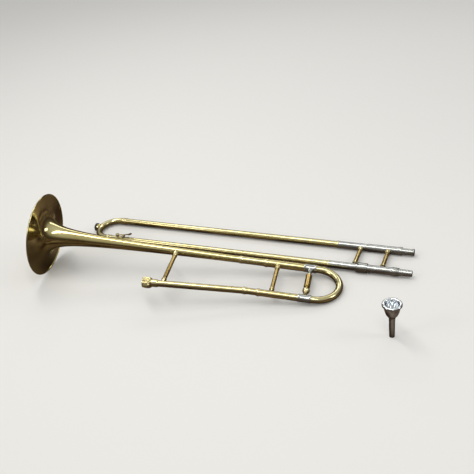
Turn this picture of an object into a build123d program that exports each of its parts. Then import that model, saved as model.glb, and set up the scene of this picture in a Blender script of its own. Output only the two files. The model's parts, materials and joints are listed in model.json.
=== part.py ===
from build123d import *
import math
import os

# A tenor trombone taken apart and laid on a flat surface: the bell section with its tuning slide,
# the hand slide, and the mouthpiece standing on its shank.
#
# Each of the three is drawn in its own frame, with x along its tubes, and is then laid on z = 0:
#   bell section   x from the rim towards the tuning bow, bell axis at y = 0, the other leg at
#                  y = -LEG_SPACING, and the neckpipe leaning away from the bell from its ferrule on
#   hand slide     x from the bumper towards the player, y = 0 midway between the two tubes
#   mouthpiece     x from the end of the shank up to the rim

os.makedirs("parts", exist_ok=True)

# ---- Clearances -----------------------------------------------------------------------------------
RUNNING_FIT = 0.05        # radial, for a tube or shaft that slides or turns in another
GAP = 0.4                 # between pieces of different bodies that only come near each other
MARGIN = 20.0             # how far a cutting tool reaches past what it cuts
EASE = 0.3                # chamfer on the outside edges of rings and sleeves

# ---- Bell -----------------------------------------------------------------------------------------
BELL_RADIUS = 95.25       # 7.5 inch bell, over the rim
BELL_WALL = 0.6
RIM_WIRE = 1.6            # radius of the bead rolled round the rim wire
FLARE_REACH = 3.0         # horn law: radius falls as (reach / (distance + reach)) ** power
FLARE_POWER = 0.49
FLARE_STATIONS = 14
BELL_LENGTH = 470.0
LEG_SPACING = 102.0       # between the two legs of the tuning slide
NECK_ANGLE = 4.5          # degrees that the neckpipe leans away, so that the hand slide clears the rim

# ---- Bell section tubes, stations from the rim plane ----------------------------------------------
TUBE_WALL = 0.5
NECK_START = 290.0        # neckpipe begins inside the receiver
RECEIVER_START = 281.0
RECEIVER_LENGTH = 30.0
RECEIVER_LAND = 14.0      # straight stretch that takes the slide tenon
LOCK_NUT_START = 277.0
LOCK_NUT_LENGTH = 20.0
LOCK_NUT_WALL = 2.8       # over the thread that it takes
LOCK_NUT_CROWN = 1.6      # how far the nut swells between its ends
COLLAR_FLANGE = 2.7       # flange on the receiver that keeps the nut
NECK_FERRULE_STATION = 497.0
FERRULE_LENGTH = 9.0
FERRULE_RAISE = 1.1       # how far a ring stands over the tube that it joins
LEG_START = 524.0         # outer legs of the tuning slide
LEG_END = 610.5
BELL_TUBE_STEP = 0.442    # how much stouter the link tube is than the end of the bell's stem
NECK_TUBE_RADIUS = 7.0    # neckpipe
LEG_OVERLAP = 8.0         # how far a link tube enters its outer leg
LEG_RING_LENGTH = 6.0     # ring at the mouth of an outer leg
KNEE_GAP = 0.4            # either side of the neck ferrule's middle, where its two tubes butt

# ---- Tuning slide ---------------------------------------------------------------------------------
TUNING_TRAVEL = 60.0
LEG_HOLD = 10.6           # how much of an inner leg stays in its outer leg when it is pulled right out
BOW_FERRULE_LENGTH = 27.0
BOW_FERRULE_WALL = 0.9
BOW_ENTRY = 14.0          # how far the bow enters its ferrule
BOW_STRAIGHT = 3.5        # straight stretch between ferrule and bend
BOW_BELL_STEP = 0.1       # how much slimmer the bow is than the link tube, on the bell side
BOW_NECK_STEP = 0.3       # how much stouter it is than the neckpipe, on the neck side

# ---- Braces ---------------------------------------------------------------------------------------
BRACE_RADIUS = 4.6
FOOT_LENGTH = 9.0         # from the tube to the end of the foot
FOOT_GRIP = 0.74          # radius of a foot where it meets its tube, as a share of that tube
FOOT_DIP = 0.6            # how far a foot is drawn into its tube before the tube is cut from it
FOOT_RING_LENGTH = 2.4    # ring at the end of a foot
FOOT_RING_RAISE = 0.9
FRONT_BRACE_STATION = 320.0
REAR_BRACE_STATION = 553.0
TUNING_BRACE_RADIUS = 6.8
TUNING_BALL_RADIUS = 7.8
TUNING_BALL_PLACE = 76.0  # from the bell axis
TUNING_FOOT_LENGTH = 15.0
TUNING_NECK_RADIUS = 3.6  # thin neck between ball, rod and feet
TUNING_NECK_LENGTH = 3.0
TUNING_BALL_SHARE = 0.9   # half length of the ball, as a share of its radius

# ---- Hand slide, stations from the tip of the bumper ----------------------------------------------
SLIDE_SPACING = 82.0
SLIDE_BORE = 6.35         # 0.500 inch bore
INNER_WALL = 0.35
OUTER_WALL = 0.55
STOCKING_RAISE = 0.15     # the swollen end of an inner tube
STOCKING_LENGTH = 120.0
HAND_TRAVEL = 600.0
INNER_HOLD = 47.0         # how much of an inner tube stays in its outer tube at full reach
CROOK_BACK = 8.0          # outside of the crook
CROOK_FERRULE_LENGTH = 12.0
CROOK_ENTRY = 6.0
SLEEVE_START = 627.0      # oversleeve at the player's end of each outer tube
SLEEVE_RING_LENGTH = 4.0
BARREL_START = 695.6      # cork barrel
BARREL_LENGTH = 67.4
BARREL_WALL = 0.65        # round its chamber
BARREL_CHAMBER = 26.0     # depth of the room for the end of the outer tube and the cork
CORK_LENGTH = 7.0
CORK_GAP = 1.5            # between the cork and the outer tube at rest
END_RING_LENGTH = 9.6
END_RING_RAISE = 0.9
OUTER_BRACE_STATION = 680.0
INNER_BRACE_STATION = 742.0
WATER_KEY_STATION = 88.0
BUMPER_LENGTH = 9.0       # rubber and the start of its cup
BUMPER_STEM = 6.0         # length of the rubber alone
BUMPER_RIM = 1.2          # how far the cup is narrower than the rubber

# ---- Water key, on top of the tenon side over a hole in the outer tube ----------------------------
KEY_HOLE = 2.2
SPOUT_RADIUS = 3.6
SPOUT_RAISE = 3.2         # rim of the spout over the tube
KEY_REACH = 16.0          # from the spout to the pivot
KEY_PIVOT_RAISE = 3.4
KEY_PIN_RADIUS = 1.0
KEY_HEAD_RADIUS = 1.9
KEY_HEAD_LENGTH = 1.0
KEY_KNUCKLE_RADIUS = 2.0
KEY_EYE_RADIUS = 2.5
KEY_WIDTH = 5.0
KEY_POST_WIDTH = 1.6
KEY_ARM_WIDTH = 3.0
KEY_ARM_THICKNESS = 1.6
KEY_TAIL = 20.0           # from the pivot to the middle of the touch
KEY_TOUCH_RADIUS = 4.6
KEY_RISE = 13.0           # how far the finger end slopes up, degrees
KEY_CUP_DEPTH = 2.2
KEY_CUP_WALL = 1.2
PAD_THICKNESS = 1.2
SPRING_THICKNESS = 0.5
SPRING_WIDTH = 2.0
SPRING_START = 4.0        # stations from the pivot
SPRING_BEND = 9.0
SPRING_TIP = 17.0
SPRING_LIFT = 1.7         # how much higher the tip is than the seat

# ---- Slide lock -----------------------------------------------------------------------------------
LOCK_RING_WALL = 2.5      # over the barrel
LOCK_RING_START = 686.6
LOCK_RING_LENGTH = 25.0
LOCK_TURN = 35.0          # degrees from open to locked
LUG_ANGLE = 20.0          # width of the lug round the tube, degrees
LUG_PLAY = 4.0            # degrees either side of the lug
LUG_LENGTH = 3.2
LUG_STATION = 690.6       # forward face of the lug
LUG_DEPTH = 0.7           # how far the lug stays below the outside of the ring

# ---- Tenon and receivers --------------------------------------------------------------------------
TENON_THREAD_RAISE = 2.3  # thread over land
TENON_THREAD_LENGTH = 7.0
TENON_WALL = 0.85         # over the bore of the slide
TENON_LAND_LENGTH = 12.0
TENON_LENGTH = 28.0       # beyond the thread collar
RECEIVER_TIP_WALL = 1.35  # over the bore of the slide
RECEIVER_LENGTH_OUT = 26.6
MOUTH_BORE_RADIUS = 5.9   # straight mouth of the mouthpiece receiver
MOUTH_BORE_LENGTH = 12.0
LEADPIPE_START = 520.0
LEADPIPE_VENTURI = 5.1
LEADPIPE_TAPER = 50.0     # from its mouth to its narrowest place
LEADPIPE_EDGE = 0.25      # wall at its thin end
THREAD_PITCH = 1.25
THREAD_DEPTH = 0.6
TENON_EASE = 2.0          # taper between collar and land
TENON_STEP = 0.3          # how much the tenon is stouter under the collar

# ---- Mouthpiece -----------------------------------------------------------------------------------
MOUTHPIECE_LENGTH = 81.0
SHANK_TIP_RADIUS = 5.3
SHANK_TIP_WALL = 0.7
SHANK_LAND_START = 24.0
SHANK_LAND_LENGTH = 10.0
CUP_RIM_RADIUS = 19.4
CUP_INNER_RADIUS = 12.7
CUP_DEPTH = 24.0
THROAT_RADIUS = 3.2
THROAT_LENGTH = 6.0
CUP_STEM = 30.0           # from the rim down to where the cup swells out of the shank
CUP_NECK_RADIUS = 7.4
CUP_FOOT_RADIUS = 11.2
CUP_WAIST_RADIUS = 15.7   # just under the rim
RIM_DEPTH = 4.5

# ---- Where the three pieces lie, before the whole is centred ---------------------------------------
BELL_PLACE = (24.0, 145.0)
BELL_YAW = 8.8
BELL_ROLL = 2.5           # the neckpipe lies lower than the bell
SLIDE_PLACE = (43.0, 316.0)
SLIDE_YAW = 0.0
MOUTHPIECE_PLACE = (844.0, 80.0)

# ---- Derived sizes --------------------------------------------------------------------------------
RIM_RING_RADIUS = BELL_RADIUS - RIM_WIRE
STEM_RADIUS = RIM_RING_RADIUS * (FLARE_REACH / (BELL_LENGTH - RIM_WIRE + FLARE_REACH)) ** FLARE_POWER
BELL_TUBE_RADIUS = round(STEM_RADIUS + BELL_TUBE_STEP, 2)
BELL_LEG_RADIUS = BELL_TUBE_RADIUS + TUBE_WALL
NECK_LEG_RADIUS = NECK_TUBE_RADIUS + TUBE_WALL
BOW_BELL_RADIUS = BELL_TUBE_RADIUS - BOW_BELL_STEP
BOW_NECK_RADIUS = NECK_TUBE_RADIUS + BOW_NECK_STEP
BOW_BEND = LEG_END + GAP + BOW_FERRULE_LENGTH + BOW_STRAIGHT
INNER_RADIUS = SLIDE_BORE + INNER_WALL
STOCKING_RADIUS = INNER_RADIUS + STOCKING_RAISE
OUTER_BORE = STOCKING_RADIUS + RUNNING_FIT
OUTER_RADIUS = OUTER_BORE + OUTER_WALL
SLEEVE_RADIUS = OUTER_RADIUS + OUTER_WALL
FRONT = -SLIDE_SPACING / 2          # the tube that carries the tenon
REAR = SLIDE_SPACING / 2            # the tube that carries the mouthpiece
CROOK_CENTRE = CROOK_BACK + OUTER_RADIUS + SLIDE_SPACING / 2
BARREL_END = BARREL_START + BARREL_LENGTH
END_RING_END = BARREL_END + END_RING_LENGTH
CHAMBER_END = BARREL_START + BARREL_CHAMBER
CHAMBER_RADIUS = OUTER_RADIUS + GAP
OUTER_END = CHAMBER_END - CORK_LENGTH - CORK_GAP
INNER_START = OUTER_END - HAND_TRAVEL - INNER_HOLD
BARREL_RADIUS = round(CHAMBER_RADIUS + BARREL_WALL, 3)
LOCK_RING_RADIUS = BARREL_RADIUS + LOCK_RING_WALL
LUG_RADIUS = LOCK_RING_RADIUS - LUG_DEPTH
END_RING_RADIUS = BARREL_RADIUS + END_RING_RAISE
BUMPER_RADIUS = (LOCK_RING_RADIUS + END_RING_RADIUS) / 2
TENON_LAND_RADIUS = round(SLIDE_BORE + TENON_WALL, 3)
TENON_THREAD_RADIUS = TENON_LAND_RADIUS + TENON_THREAD_RAISE
LOCK_NUT_RADIUS = TENON_THREAD_RADIUS + LOCK_NUT_WALL
RECEIVER_TIP_RADIUS = round(SLIDE_BORE + RECEIVER_TIP_WALL, 3)
RECEIVER_BORE = TENON_LAND_RADIUS + RUNNING_FIT
RECEIVER_RADIUS = RECEIVER_BORE + 1.2
FLANGE_RADIUS = TENON_THREAD_RADIUS + 0.2
BUMPER_HOLD = BUMPER_RADIUS - BUMPER_RIM
SHANK_LAND_RADIUS = MOUTH_BORE_RADIUS - RUNNING_FIT
KEY_TOP = OUTER_RADIUS + SPOUT_RAISE
KEY_PIVOT = WATER_KEY_STATION + KEY_REACH
KEY_PIVOT_HEIGHT = OUTER_RADIUS + KEY_PIVOT_RAISE
KEY_CUP_BASE = KEY_TOP + GAP + PAD_THICKNESS
NECK_KNEE = Pos(NECK_FERRULE_STATION, -LEG_SPACING, 0)
NECK_LEAN = NECK_KNEE * Rot(0, 0, NECK_ANGLE) * NECK_KNEE.inverse()


# ---- Shapes used again and again ------------------------------------------------------------------
def turned(points, y=0.0):
    """A closed outline of (station, radius) points turned about the tube axis at y."""
    outline = make_face(Polyline(*points, close=True))
    return Pos(0, y, 0) * revolve(outline, Axis.X, 360)


def sleeve(start, end, bore, radius, y=0.0, ease=EASE):
    """A straight tube or ring with its outside edges broken."""
    return turned(
        [
            (start, bore),
            (end, bore),
            (end, radius - ease),
            (end - ease, radius),
            (start + ease, radius),
            (start, radius - ease),
        ],
        y,
    )


def pipe(start, end, radius, wall, y=0.0):
    """A plain thin tube."""
    return turned([(start, radius - wall), (end, radius - wall), (end, radius), (start, radius)], y)


def rod(start, end, radius, y=0.0):
    """A solid round bar along x."""
    return turned([(start, 0), (end, 0), (end, radius), (start, radius)], y)


def band(start, end, bore, shoulder, crown, y=0.0):
    """A ring whose outside is one convex arc."""
    outline = make_face(
        [
            Line((start, bore), (end, bore)),
            Line((end, bore), (end, shoulder)),
            ThreePointArc((end, shoulder), ((start + end) / 2, crown), (start, shoulder)),
            Line((start, shoulder), (start, bore)),
        ]
    )
    return Pos(0, y, 0) * revolve(outline, Axis.X, 360)


def across(shape, station, y=0.0):
    """Turn a piece drawn along x so that it runs from the tube at y towards the player's left, -y."""
    return Pos(station, y, 0) * Rot(0, 0, -90) * shape


def foot(tube_radius, length, rod_radius):
    """A flared foot drawn from the middle of its tube outwards; the tube is cut from it later."""
    grip = tube_radius * FOOT_GRIP
    base = math.sqrt(tube_radius**2 - grip**2) - FOOT_DIP
    tip = tube_radius + length
    tip_radius = rod_radius + FOOT_RING_RAISE
    collar = tip - FOOT_RING_LENGTH
    waist = ((base + 2 * collar) / 3, rod_radius + (grip - rod_radius) * 0.22)
    outline = make_face(
        [
            Line((base, 0), (tip, 0)),
            Line((tip, 0), (tip, tip_radius)),
            Line((tip, tip_radius), (collar, tip_radius)),
            Line((collar, tip_radius), (collar, rod_radius)),
            ThreePointArc((collar, rod_radius), waist, (base, grip)),
            Line((base, grip), (base, 0)),
        ]
    )
    return revolve(outline, Axis.X, 360)


def round_tool(station, radius, y=0.0):
    """A bar along the tube at y, to cut a foot or a post to that tube."""
    return rod(station - MARGIN, station + MARGIN, radius, y)


def facing(shape, spacing):
    """The same foot, seen from the other tube of a pair that stands spacing away."""
    return Pos(spacing, 0, 0) * Rot(0, 0, 180) * shape


# ---- Bell section ---------------------------------------------------------------------------------
def flare_point(distance, inset):
    """A point of the bell sheet, inset from its outside along the normal."""
    radius = RIM_RING_RADIUS * (FLARE_REACH / (distance + FLARE_REACH)) ** FLARE_POWER
    slope = -FLARE_POWER * radius / (distance + FLARE_REACH)
    steep = math.hypot(slope, 1)
    return (RIM_WIRE + distance + inset * slope / steep, radius - inset / steep)


def flare_curve(inset):
    """The bell's outline, with stations that crowd towards the rim where it turns fastest."""
    growth = (BELL_LENGTH - RIM_WIRE) / FLARE_REACH + 1
    distances = [FLARE_REACH * (growth ** (i / FLARE_STATIONS) - 1) for i in range(FLARE_STATIONS + 1)]
    return Spline(*[flare_point(distance, inset) for distance in distances])


def rim_wire():
    return Pos(RIM_WIRE, 0, 0) * Rot(0, 90, 0) * Torus(RIM_RING_RADIUS, RIM_WIRE)


def bell():
    outside = flare_curve(0)
    inside = flare_curve(BELL_WALL)
    outline = make_face([outside, inside, Line(outside @ 0, inside @ 0), Line(outside @ 1, inside @ 1)])
    return revolve(outline, Axis.X, 360) - rim_wire()


def bell_solid():
    """The bell as if it were filled, to shape what sits on it."""
    outside = flare_curve(0)
    start, end = outside @ 0, outside @ 1
    low, high = (start.X, 0), (end.X, 0)
    outline = make_face([outside, Line(start, low), Line(low, high), Line(high, end)])
    return revolve(outline, Axis.X, 360)


def bell_end_radius():
    return flare_point(BELL_LENGTH - RIM_WIRE, 0)[1]


def stem_ferrule():
    """The ring that joins the bell's stem to the link tube."""
    start = BELL_LENGTH - FERRULE_LENGTH / 2
    end = BELL_LENGTH + FERRULE_LENGTH / 2
    crown = bell_end_radius() + FERRULE_RAISE
    ring = band(start, end, BELL_TUBE_RADIUS - TUBE_WALL, crown - 0.5, crown)
    return ring - bell_solid() - rod(BELL_LENGTH, end + 1, BELL_TUBE_RADIUS)


def receiver():
    """The socket on the neckpipe: a straight land for the tenon, then the bore of the neckpipe."""
    end = RECEIVER_START + RECEIVER_LENGTH
    land_end = RECEIVER_START + RECEIVER_LAND
    return turned(
        [
            (RECEIVER_START, RECEIVER_BORE),
            (land_end, RECEIVER_BORE),
            (land_end + 1, NECK_TUBE_RADIUS),
            (end, NECK_TUBE_RADIUS),
            (end, NECK_TUBE_RADIUS + 0.7),
            (end - 3, RECEIVER_RADIUS),
            (RECEIVER_START + COLLAR_FLANGE, RECEIVER_RADIUS),
            (RECEIVER_START + COLLAR_FLANGE, FLANGE_RADIUS),
            (RECEIVER_START, FLANGE_RADIUS),
        ],
        -LEG_SPACING,
    )


def lock_nut():
    """The captive nut: a chamber that takes the thread collar, and a back wall behind the flange."""
    end = LOCK_NUT_START + LOCK_NUT_LENGTH
    wall = RECEIVER_START + COLLAR_FLANGE + GAP
    shoulder = LOCK_NUT_RADIUS - LOCK_NUT_CROWN
    crown = ((LOCK_NUT_START + end) / 2 + 2, LOCK_NUT_RADIUS)
    outline = make_face(
        [
            Line((LOCK_NUT_START, FLANGE_RADIUS + GAP), (wall, FLANGE_RADIUS + GAP)),
            Line((wall, FLANGE_RADIUS + GAP), (wall, RECEIVER_RADIUS + RUNNING_FIT)),
            Line((wall, RECEIVER_RADIUS + RUNNING_FIT), (end, RECEIVER_RADIUS + RUNNING_FIT)),
            Line((end, RECEIVER_RADIUS + RUNNING_FIT), (end, shoulder - 1)),
            ThreePointArc((end, shoulder - 1), crown, (LOCK_NUT_START, shoulder)),
            Line((LOCK_NUT_START, shoulder), (LOCK_NUT_START, FLANGE_RADIUS + GAP)),
        ]
    )
    return Pos(0, -LEG_SPACING, 0) * revolve(outline, Axis.X, 360)


def neck_ferrule():
    """The raised ring over the knee where the leaning neckpipe meets the straight link tube."""
    middle, half = NECK_FERRULE_STATION, FERRULE_LENGTH / 2
    crown = NECK_TUBE_RADIUS + FERRULE_RAISE
    ring = band(middle - half, middle + half, NECK_TUBE_RADIUS - TUBE_WALL, crown - 0.5, crown, -LEG_SPACING)
    ring -= rod(middle, middle + MARGIN, NECK_TUBE_RADIUS, -LEG_SPACING)
    return ring - NECK_LEAN * rod(middle - MARGIN, middle + 1, NECK_TUBE_RADIUS, -LEG_SPACING)


def leg_rings():
    """The two rings at the mouths of the outer legs."""
    rings = []
    for radius, y in ((BELL_LEG_RADIUS, 0), (NECK_LEG_RADIUS, -LEG_SPACING)):
        start = LEG_START - 1
        rings.append(band(start, start + LEG_RING_LENGTH, radius, radius + 0.6, radius + 0.9, y))
    return rings


def bell_brace(station, bell_side, bell_radius, neck_side, neck_radius, spacing):
    """A brace between the two tubes of the bell section, as its two feet and its rod."""
    bell_foot = across(foot(bell_radius, FOOT_LENGTH, BRACE_RADIUS), station) - bell_side
    neck_foot = across(facing(foot(neck_radius, FOOT_LENGTH, BRACE_RADIUS), spacing), station) - neck_side
    bar = across(rod(bell_radius + FOOT_LENGTH, spacing - neck_radius - FOOT_LENGTH, BRACE_RADIUS), station)
    return bell_foot, neck_foot, bar


def bell_section():
    station = FRONT_BRACE_STATION
    spacing = LEG_SPACING + (NECK_FERRULE_STATION - station) * math.tan(math.radians(NECK_ANGLE))
    neck = NECK_LEAN * rod(RECEIVER_START, NECK_FERRULE_STATION, NECK_TUBE_RADIUS, -LEG_SPACING)
    front = bell_brace(station, bell_solid(), flare_point(station, 0)[1], neck, NECK_TUBE_RADIUS, spacing)
    station = REAR_BRACE_STATION
    legs = round_tool(station, BELL_LEG_RADIUS), round_tool(station, NECK_LEG_RADIUS, -LEG_SPACING)
    rear = bell_brace(station, legs[0], BELL_LEG_RADIUS, legs[1], NECK_LEG_RADIUS, LEG_SPACING)
    link_end = LEG_START + LEG_OVERLAP
    neck_start = NECK_START + RECEIVER_LAND / 2
    neck_end = NECK_FERRULE_STATION - KNEE_GAP
    return {
        "bell": bell(),
        "bell_rim_wire": rim_wire(),
        "bell_stem_ferrule": stem_ferrule(),
        "bell_link_tube": pipe(BELL_LENGTH, link_end, BELL_TUBE_RADIUS, TUBE_WALL),
        "bell_outer_leg": pipe(LEG_START, LEG_END, BELL_LEG_RADIUS, TUBE_WALL),
        "neckpipe": NECK_LEAN * pipe(neck_start, neck_end, NECK_TUBE_RADIUS, TUBE_WALL, -LEG_SPACING),
        "neck_receiver": NECK_LEAN * receiver(),
        "neck_ferrule": neck_ferrule(),
        "neck_link_tube": pipe(
            NECK_FERRULE_STATION + KNEE_GAP, link_end, NECK_TUBE_RADIUS, TUBE_WALL, -LEG_SPACING
        ),
        "neck_outer_leg": pipe(LEG_START, LEG_END, NECK_LEG_RADIUS, TUBE_WALL, -LEG_SPACING),
        "outer_leg_rings": leg_rings(),
        "front_brace_bell_foot": front[0],
        "front_brace_neck_foot": front[1],
        "front_brace_tube": front[2],
        "rear_brace_bell_foot": rear[0],
        "rear_brace_neck_foot": rear[1],
        "rear_brace_tube": rear[2],
        "bell_lock_nut": NECK_LEAN * lock_nut(),
    }


# ---- Tuning slide ---------------------------------------------------------------------------------
def bow_ferrule(leg_radius, bow_radius, y):
    """The nickel ferrule that joins an inner leg to the bow, stepped inside, with a bead at each end."""
    start = LEG_END + GAP
    end = start + BOW_FERRULE_LENGTH
    middle = end - BOW_ENTRY
    radius = max(leg_radius, bow_radius) + BOW_FERRULE_WALL
    ferrule = turned(
        [
            (start, leg_radius),
            (middle, leg_radius),
            (middle, bow_radius - TUBE_WALL),
            (end, bow_radius - TUBE_WALL),
            (end, radius),
            (end - 2, radius + 0.5),
            (end - 4, radius),
            (start + 4, radius),
            (start + 2, radius + 0.5),
            (start, radius),
        ],
        y,
    )
    return ferrule - bow_solid() - rod(middle, end, bow_radius - TUBE_WALL, y)


def bow():
    """The U of the tuning slide, a little narrower on the neck side, with short straight ends."""
    return bow_solid() - bow_solid(TUBE_WALL)


def bow_solid(inset=0):
    """The bow as if it were filled, or with inset its bore."""
    entry = BOW_BEND - BOW_STRAIGHT - BOW_ENTRY
    half = LEG_SPACING / 2
    path = Line((entry, 0), (BOW_BEND, 0))
    path += ThreePointArc((BOW_BEND, 0), (BOW_BEND + half, -half), (BOW_BEND, -LEG_SPACING))
    path += Line((BOW_BEND, -LEG_SPACING), (entry, -LEG_SPACING))
    first = Plane(origin=path @ 0, z_dir=path % 0) * Circle(BOW_BELL_RADIUS - inset)
    last = Plane(origin=path @ 1, z_dir=path % 1) * Circle(BOW_NECK_RADIUS - inset)
    return sweep([first, last], path=path, multisection=True)


def tuning_brace():
    """The brace of the tuning slide: a thick barrel and a ball between two necked feet."""
    station = LEG_END + GAP + BOW_FERRULE_LENGTH / 2
    bell_radius = max(BELL_TUBE_RADIUS - RUNNING_FIT, BOW_BELL_RADIUS) + BOW_FERRULE_WALL
    neck_radius = max(NECK_TUBE_RADIUS - RUNNING_FIT, BOW_NECK_RADIUS) + BOW_FERRULE_WALL
    barrel_start = bell_radius + TUNING_FOOT_LENGTH
    ball_half = TUNING_BALL_RADIUS * TUNING_BALL_SHARE
    ball_start, ball_end = TUNING_BALL_PLACE - ball_half, TUNING_BALL_PLACE + ball_half
    cap = math.sqrt(TUNING_BALL_RADIUS**2 - ball_half**2)
    ball = make_face(
        [
            Line((ball_start, 0), (ball_end, 0)),
            Line((ball_end, 0), (ball_end, cap)),
            ThreePointArc((ball_end, cap), (TUNING_BALL_PLACE, TUNING_BALL_RADIUS), (ball_start, cap)),
            Line((ball_start, cap), (ball_start, 0)),
        ]
    )
    barrel_end = ball_start - TUNING_NECK_LENGTH
    round_off = 1.5
    barrel = turned(
        [
            (barrel_start, 0),
            (ball_start, 0),
            (ball_start, TUNING_NECK_RADIUS),
            (barrel_end, TUNING_NECK_RADIUS),
            (barrel_end - round_off, TUNING_BRACE_RADIUS),
            (barrel_start + round_off, TUNING_BRACE_RADIUS),
            (barrel_start, TUNING_BRACE_RADIUS - round_off),
        ]
    )
    bell_foot = foot(bell_radius, TUNING_FOOT_LENGTH, TUNING_NECK_RADIUS)
    neck_reach = LEG_SPACING - neck_radius - ball_end
    neck_foot = facing(foot(neck_radius, neck_reach, TUNING_NECK_RADIUS), LEG_SPACING)
    bell_cut = round_tool(station, bell_radius)
    neck_cut = round_tool(station, neck_radius, -LEG_SPACING)
    return {
        "tuning_brace_bell_foot": across(bell_foot, station) - bell_cut,
        "tuning_brace_barrel": across(barrel, station),
        "tuning_brace_ball": across(revolve(ball, Axis.X, 360), station),
        "tuning_brace_neck_foot": across(neck_foot, station) - neck_cut,
    }


def tuning_slide():
    bell_leg = BELL_TUBE_RADIUS - RUNNING_FIT
    neck_leg = NECK_TUBE_RADIUS - RUNNING_FIT
    leg_end = LEG_END + GAP + BOW_FERRULE_LENGTH - BOW_ENTRY
    leg_start = LEG_END - TUNING_TRAVEL - LEG_HOLD
    return {
        "tuning_bow": bow(),
        "bell_bow_ferrule": bow_ferrule(bell_leg, BOW_BELL_RADIUS, 0),
        "neck_bow_ferrule": bow_ferrule(neck_leg, BOW_NECK_RADIUS, -LEG_SPACING),
        "bell_inner_leg": pipe(leg_start, leg_end, bell_leg, TUBE_WALL),
        "neck_inner_leg": pipe(leg_start, leg_end, neck_leg, TUBE_WALL, -LEG_SPACING),
        **tuning_brace(),
    }


# ---- Inner slide ----------------------------------------------------------------------------------
def inner_tube(y):
    """An inner tube: its far end is the swollen stocking that runs in the outer tube."""
    step = INNER_START + STOCKING_LENGTH
    return turned(
        [
            (INNER_START, SLIDE_BORE),
            (BARREL_END, SLIDE_BORE),
            (BARREL_END, INNER_RADIUS),
            (step + 2, INNER_RADIUS),
            (step, STOCKING_RADIUS),
            (INNER_START, STOCKING_RADIUS),
        ],
        y,
    )


def cork_barrel(y):
    """The barrel round the end of an inner tube, with a chamber that takes the end of the outer tube."""
    return turned(
        [
            (BARREL_START, CHAMBER_RADIUS),
            (CHAMBER_END, CHAMBER_RADIUS),
            (CHAMBER_END, INNER_RADIUS),
            (BARREL_END, INNER_RADIUS),
            (BARREL_END, BARREL_RADIUS),
            (BARREL_START + EASE, BARREL_RADIUS),
            (BARREL_START, BARREL_RADIUS - EASE),
        ],
        y,
    )


def slide_brace(station, tube_radius):
    """A brace across the hand slide: its two feet, then its rod."""
    rear_foot = across(foot(tube_radius, FOOT_LENGTH, BRACE_RADIUS), station, REAR)
    rear_foot -= round_tool(station, tube_radius, REAR)
    front_foot = across(facing(foot(tube_radius, FOOT_LENGTH, BRACE_RADIUS), SLIDE_SPACING), station, REAR)
    front_foot -= round_tool(station, tube_radius, FRONT)
    reach = tube_radius + FOOT_LENGTH
    return [rear_foot, front_foot, across(rod(reach, SLIDE_SPACING - reach, BRACE_RADIUS), station, REAR)]


def mouthpiece_receiver():
    """The socket for the mouthpiece: straight mouth, then the seat of the leadpipe."""
    start = END_RING_END
    end = start + RECEIVER_LENGTH_OUT
    seat = end - MOUTH_BORE_LENGTH
    bead = end - 3.6
    body = RECEIVER_TIP_RADIUS - 0.7
    lip = RECEIVER_TIP_RADIUS - 0.6
    outline = make_face(
        [
            Line((start, SLIDE_BORE), (seat, SLIDE_BORE)),
            Line((seat, SLIDE_BORE), (seat, MOUTH_BORE_RADIUS)),
            Line((seat, MOUTH_BORE_RADIUS), (end, MOUTH_BORE_RADIUS)),
            Line((end, MOUTH_BORE_RADIUS), (end, lip)),
            ThreePointArc((end, lip), (end - 1.6, RECEIVER_TIP_RADIUS + 0.4), (bead, body)),
            Line((bead, body), (start, body)),
            Line((start, body), (start, SLIDE_BORE)),
        ]
    )
    return Pos(0, REAR, 0) * revolve(outline, Axis.X, 360)


def leadpipe():
    """The tapered pipe inside the mouthpiece side, narrowest a little way in."""
    mouth = END_RING_END + RECEIVER_LENGTH_OUT - MOUTH_BORE_LENGTH
    venturi = mouth - LEADPIPE_TAPER
    return turned(
        [
            (LEADPIPE_START, SLIDE_BORE - LEADPIPE_EDGE),
            (venturi, LEADPIPE_VENTURI),
            (mouth, SHANK_TIP_RADIUS + 0.4),
            (mouth, SLIDE_BORE),
            (LEADPIPE_START, SLIDE_BORE),
        ],
        REAR,
    )


def end_ring(y):
    """The bright ring that closes a cork barrel."""
    return band(BARREL_END, END_RING_END, SLIDE_BORE, END_RING_RADIUS - 0.6, END_RING_RADIUS, y)


def slide_tenon():
    """The tenon that enters the bell section: a straight land, then a slight taper to its tip."""
    start = END_RING_END
    land = start + TENON_THREAD_LENGTH + TENON_EASE
    land_end = land + TENON_LAND_LENGTH
    tip = start + TENON_THREAD_LENGTH + TENON_LENGTH
    return turned(
        [
            (start, SLIDE_BORE),
            (tip, SLIDE_BORE),
            (tip, TENON_LAND_RADIUS - 0.5),
            (land_end, TENON_LAND_RADIUS),
            (land, TENON_LAND_RADIUS),
            (land - TENON_EASE, TENON_LAND_RADIUS + TENON_STEP),
            (start, TENON_LAND_RADIUS + TENON_STEP),
        ],
        FRONT,
    )


def thread_collar():
    """The threaded collar that the lock nut of the bell section screws on to, its thread as grooves."""
    end = END_RING_END + TENON_THREAD_LENGTH
    collar = sleeve(END_RING_END, end, TENON_LAND_RADIUS + TENON_STEP, TENON_THREAD_RADIUS, FRONT)
    half = THREAD_PITCH * 0.35
    mouth = TENON_THREAD_RADIUS + 0.1
    root = TENON_THREAD_RADIUS - THREAD_DEPTH
    for turn in range(1, int(TENON_THREAD_LENGTH / THREAD_PITCH)):
        groove = END_RING_END + turn * THREAD_PITCH
        collar -= turned([(groove - half, mouth), (groove + half, mouth), (groove, root)], FRONT)
    return collar


def barrel_corks():
    """The cork ring at the bottom of each barrel, which stops the outer tube softly."""
    start = CHAMBER_END - CORK_LENGTH
    return [sleeve(start, CHAMBER_END, INNER_RADIUS, CHAMBER_RADIUS, y) for y in (FRONT, REAR)]


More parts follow.
